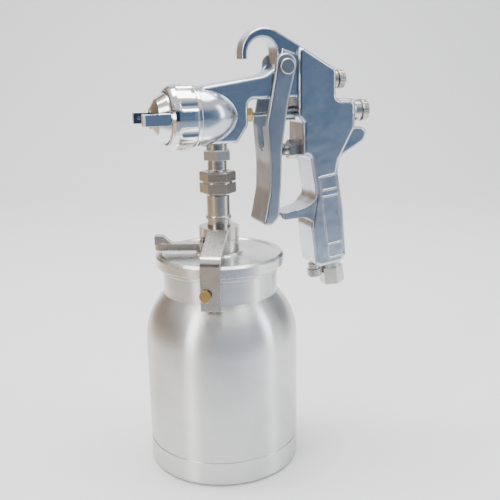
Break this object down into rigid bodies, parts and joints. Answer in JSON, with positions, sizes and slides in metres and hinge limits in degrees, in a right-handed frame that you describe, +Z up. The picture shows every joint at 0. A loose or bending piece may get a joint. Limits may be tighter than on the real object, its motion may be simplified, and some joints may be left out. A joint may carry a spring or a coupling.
{
  "type": "spray gun",
  "caption": "Suction-feed HVLP spray gun in polished cast metal, standing on its brushed round paint cup, with trigger, hook, air cap and clamp.",
  "frame": {"origin": "centre of the cup's flat base, on the surface that it stands on", "axes": "+Z up along the cup, stem and fluid inlet; -X is the spray direction; the grip and knobs are towards +X"},
  "size_m": [0.1622, 0.104, 0.2929],
  "materials": {
    "gun_casting": "polished casting",
    "head_chrome": "bright plated",
    "trigger_metal": "satin polished casting",
    "nickel": "nickel plated, turned",
    "cup_aluminium": "brushed round",
    "lid_aluminium": "turned bright",
    "clamp_steel": "plated strip",
    "brass": "turned",
    "steel": "ground",
    "spring_steel": "wire",
    "polymer": "plain",
    "rubber": "plain"
  },
  "bodies": {
    "paint_cup": {"cup": "cup_aluminium", "cup_studs": "brass", "lid": "lid_aluminium", "lid_gasket": "polymer", "stem": "nickel", "stem_nut": "nickel", "dip_tube": "steel"},
    "gun": {"gun_body": "gun_casting", "fluid_nozzle": "steel", "head_ring": "head_chrome", "needle_packing": "polymer", "needle_packing_nut": "brass", "fluid_knob_guide": "nickel", "pattern_valve_guide": "nickel", "air_valve_body": "nickel", "trigger_pivot": "nickel", "pivot_screw": "nickel", "fluid_nipple": "nickel", "air_inlet": "nickel", "flow_valve_guide": "nickel"},
    "union": {"union_nut": "nickel"},
    "clamp_yoke": {"yoke": "clamp_steel"},
    "clamp_lever": {"cam_lever": "clamp_steel"},
    "trigger_lever": {"trigger": "trigger_metal"},
    "needle": {"fluid_needle": "steel", "needle_spring": "spring_steel"},
    "air_stem": {"air_valve_stem": "steel", "air_valve_seal": "polymer", "air_valve_spring": "spring_steel"},
    "cap_carrier": {"cap_washer": "polymer"},
    "ring": {"retaining_ring": "head_chrome"},
    "cap": {"air_cap": "head_chrome"},
    "fluid_seal_carrier": {"fluid_knob_seal": "rubber"},
    "fluid_adjuster": {"fluid_knob": "nickel"},
    "pattern_seal_carrier": {"pattern_valve_seal": "rubber"},
    "pattern_adjuster": {"pattern_knob": "nickel"},
    "flow_adjuster": {"flow_valve_screw": "nickel"}
  },
  "joints": [
    {"name": "gun_lift", "type": "slide", "parent": "paint_cup", "child": "gun", "axis": [0, 0, 1], "range_m": [0, 0.06]},
    {"name": "union_spin", "type": "hinge", "parent": "paint_cup", "child": "union", "pos_m": [0, 0, 0.195], "axis": [0, 0, 1], "continuous": true},
    {"name": "yoke_turn", "type": "hinge", "parent": "paint_cup", "child": "clamp_yoke", "pos_m": [0, 0, 0.16], "axis": [0, 0, 1], "range_deg": [0, 22]},
    {"name": "lever_turn", "type": "hinge", "parent": "clamp_yoke", "child": "clamp_lever", "pos_m": [0, 0, 0.153], "axis": [0, 0, 1], "range_deg": [0, 45]},
    {"name": "trigger_pull", "type": "hinge", "parent": "gun", "child": "trigger_lever", "pos_m": [0.0445, 0, 0.2685], "axis": [0, -1, 0], "range_deg": [0, 6], "stiffness_Nm_per_rad": 0.6, "springref_deg": -8.59},
    {"name": "needle_slide", "type": "slide", "parent": "gun", "child": "needle", "axis": [1, 0, 0], "range_m": [0, 0.0034]},
    {"name": "air_stem_slide", "type": "slide", "parent": "gun", "child": "air_stem", "axis": [1, 0, 0], "range_m": [0, 0.006]},
    {"name": "ring_travel", "type": "slide", "parent": "gun", "child": "cap_carrier", "axis": [-1, 0, 0], "range_m": [0, 0.00626]},
    {"name": "ring_spin", "type": "hinge", "parent": "cap_carrier", "child": "ring", "pos_m": [-0.026, 0, 0.238], "axis": [-1, 0, 0], "range_deg": [0, 1800]},
    {"name": "cap_turn", "type": "hinge", "parent": "cap_carrier", "child": "cap", "pos_m": [-0.04, 0, 0.238], "axis": [-1, 0, 0], "range_deg": [-90, 90]},
    {"name": "fluid_travel", "type": "slide", "parent": "gun", "child": "fluid_seal_carrier", "axis": [1, 0, 0], "range_m": [0, 0.00401]},
    {"name": "fluid_spin", "type": "hinge", "parent": "fluid_seal_carrier", "child": "fluid_adjuster", "pos_m": [0.107, 0, 0.238], "axis": [1, 0, 0], "range_deg": [0, 1440]},
    {"name": "pattern_travel", "type": "slide", "parent": "gun", "child": "pattern_seal_carrier", "axis": [1, 0, 0], "range_m": [0, 0.00301]},
    {"name": "pattern_spin", "type": "hinge", "parent": "pattern_seal_carrier", "child": "pattern_adjuster", "pos_m": [0.09, 0, 0.2595], "axis": [1, 0, 0], "range_deg": [0, 1080]},
    {"name": "flow_spin", "type": "hinge", "parent": "gun", "child": "flow_adjuster", "pos_m": [0.0703, 0, 0.13149], "axis": [0.1305, 0, -0.9914], "range_deg": [0, 270]}
  ],
  "couplings": [
    {"joint": "needle_slide", "follows": "trigger_pull", "m_per_rad": 0.0315},
    {"joint": "air_stem_slide", "follows": "trigger_pull", "m_per_rad": 0.0565},
    {"joint": "ring_travel", "follows": "ring_spin", "m_per_rad": 0.00019894},
    {"joint": "fluid_travel", "follows": "fluid_spin", "m_per_rad": 0.00015915},
    {"joint": "pattern_travel", "follows": "pattern_spin", "m_per_rad": 0.00015915}
  ]
}
